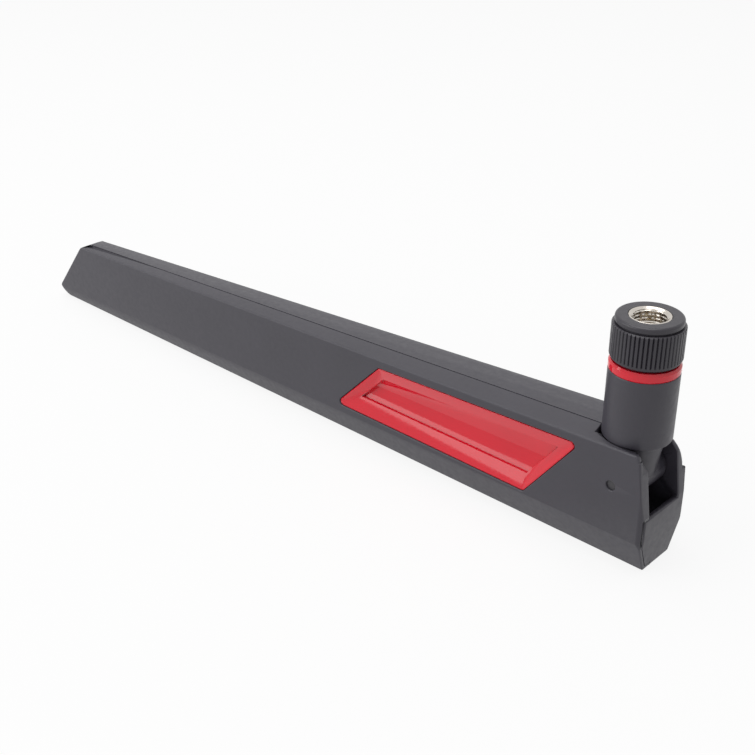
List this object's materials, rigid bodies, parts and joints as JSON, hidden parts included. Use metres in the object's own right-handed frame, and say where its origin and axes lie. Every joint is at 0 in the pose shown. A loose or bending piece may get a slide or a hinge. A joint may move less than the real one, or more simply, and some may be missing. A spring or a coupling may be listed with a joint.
{
  "type": "wifi antenna",
  "caption": "Folding blade antenna: a tapered bevelled blade with a red inlay, hinged to a coaxial plug with a knurled coupling nut.",
  "frame": {"origin": "centre of the coupling nut's mouth, on the plug's axis", "axes": "+Z out of the plug's mouth along its axis; -X towards the blade's tip; -Y towards the face with the red insert"},
  "size_m": [0.1869, 0.0156, 0.0485],
  "materials": {
    "shell_plastic": "fine matte grain",
    "pin_plastic": "matte",
    "red_plastic": "polished gloss",
    "black_plastic": "satin with straight knurls",
    "nickel": "nickel plate",
    "steel": "plain",
    "brass": "spring brass",
    "gold_contact": "gold flash",
    "copper": "bare copper",
    "braid": "tinned braid",
    "solder": "bright solder",
    "insulator": "waxy white plastic",
    "seal_rubber": "soft",
    "cable_jacket": "smooth jacket",
    "board": "solder mask",
    "foam": "open foam"
  },
  "bodies": {
    "blade": {"front_cover": "shell_plastic", "rear_body": "shell_plastic", "red_insert": "red_plastic", "hinge_pins": "pin_plastic", "friction_washers": "steel", "coax_blade": "cable_jacket", "coax_braid": "braid", "coax_core": "insulator", "coax_wire": "copper", "radiator_board": "board", "radiator_copper": "copper", "ground_copper": "copper", "core_solder": "solder", "braid_solder": "solder", "foam_pads": "foam"},
    "stem": {"stem_sleeve": "shell_plastic", "red_ring": "red_plastic", "connector_body": "nickel", "dielectric": "insulator", "center_contact": "gold_contact", "snap_ring": "brass", "gasket": "seal_rubber", "crimp_ferrule": "nickel", "coax_stem": "cable_jacket"},
    "nut": {"nut_cover": "black_plastic", "nut_insert": "nickel"}
  },
  "joints": [
    {"name": "stem_tilt", "type": "hinge", "parent": "blade", "child": "stem", "pos_m": [0, 0, -0.03135], "axis": [0, 1, 0], "range_deg": [0, 90]},
    {"name": "nut_spin", "type": "hinge", "parent": "stem", "child": "nut", "pos_m": [0, 0, -0.004], "axis": [0, 0, 1], "continuous": true}
  ]
}
